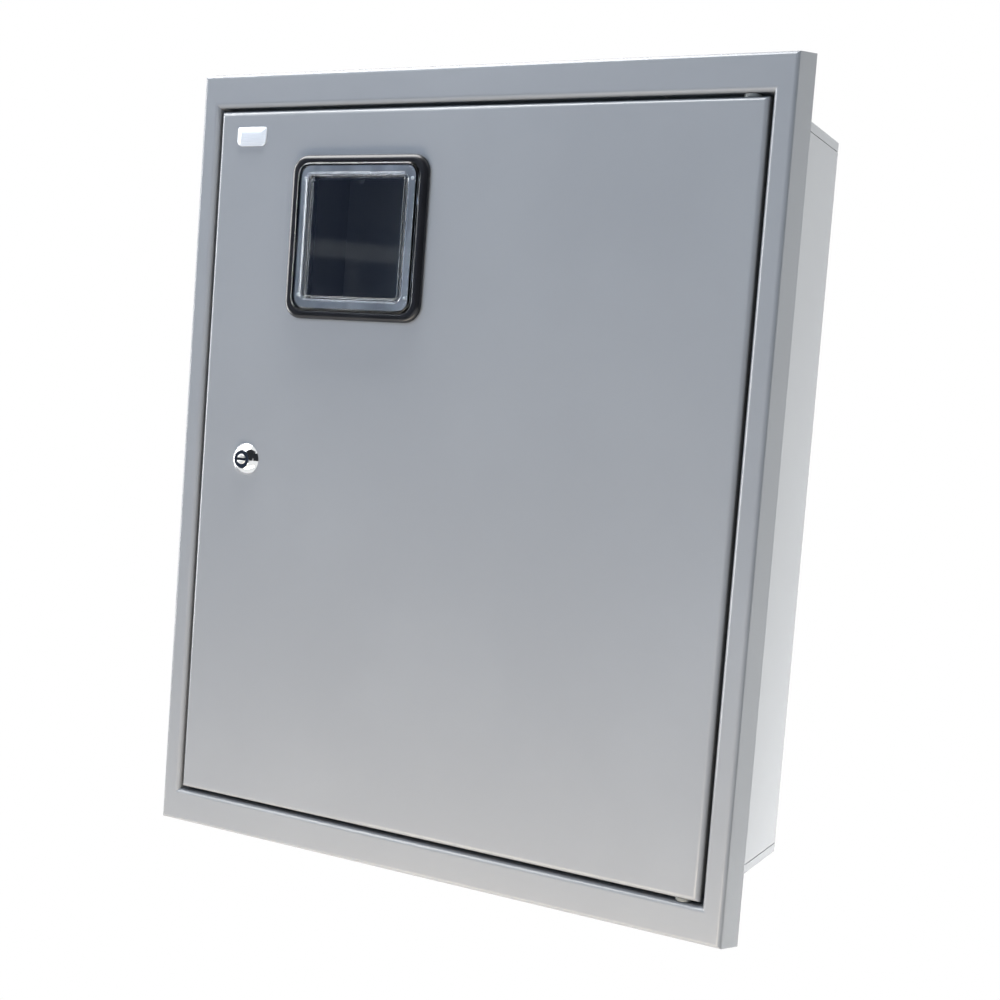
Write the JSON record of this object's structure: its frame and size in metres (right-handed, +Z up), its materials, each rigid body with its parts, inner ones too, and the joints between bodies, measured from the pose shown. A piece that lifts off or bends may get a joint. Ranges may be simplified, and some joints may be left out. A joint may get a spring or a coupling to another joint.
{
  "type": "electric meter box",
  "caption": "Flush-mounted steel meter box with a trim frame, an inset hinged door with a clear meter window and cam lock, and rails and plates inside.",
  "frame": {"origin": "centre of the four wall fixing holes, on the outside face of the back", "axes": "+Z up, +Y into the wall, so the door faces -Y, +X to the right as seen from the front"},
  "size_m": [0.44, 0.1715, 0.54],
  "materials": {
    "grey_enamel": "semi-gloss powder coat, light grey",
    "zinc_steel": "zinc plated sheet and hardware",
    "chrome_lock": "bright chrome plate",
    "black_moulding": "glossy black moulding",
    "clear_moulding": "clear polycarbonate, glossy",
    "seal_foam": "matt closed-cell foam",
    "plate_silver": "domed silver-white plate, left blank",
    "bar_brass": "bright drawn brass",
    "neutral_blue": "blue nylon",
    "earth_green": "green nylon",
    "knob_black": "black moulded knob on a steel screw",
    "washer_nylon": "natural nylon"
  },
  "bodies": {
    "casing": {"casing_shell": "grey_enamel", "casing_top": "grey_enamel", "casing_bottom": "grey_enamel", "trim_frame": "grey_enamel", "hinge_bracket_top": "grey_enamel", "hinge_bracket_bottom": "grey_enamel", "upright_left": "zinc_steel", "upright_right": "zinc_steel", "meter_plate": "zinc_steel", "module_rail": "zinc_steel", "switch_rail": "zinc_steel", "cover_posts": "zinc_steel", "cover_panel": "grey_enamel", "cover_knobs": "knob_black", "neutral_bar": "bar_brass", "earth_bar": "bar_brass", "neutral_bar_feet": "neutral_blue", "earth_bar_feet": "earth_green", "earth_stud": "zinc_steel", "earth_stud_nut": "zinc_steel"},
    "door": {"door_panel": "grey_enamel", "hinge_washer_top": "washer_nylon", "hinge_washer_bottom": "washer_nylon", "window_gasket": "seal_foam", "window_bezel": "black_moulding", "window_pane": "clear_moulding", "window_retainer": "black_moulding", "lock_housing": "chrome_lock", "lock_nut": "zinc_steel", "badge_plate": "plate_silver"},
    "lock": {"lock_plug": "chrome_lock", "lock_cam": "zinc_steel", "cam_screw": "zinc_steel"}
  },
  "joints": [
    {"name": "door_hinge", "type": "hinge", "parent": "casing", "child": "door", "pos_m": [0.188, -0.1575, 0], "axis": [0, 0, 1], "range_deg": [0, 110]},
    {"name": "lock_turn", "type": "hinge", "parent": "door", "child": "lock", "pos_m": [-0.16, -0.165, 0], "axis": [0, 1, 0], "range_deg": [0, 90]}
  ]
}
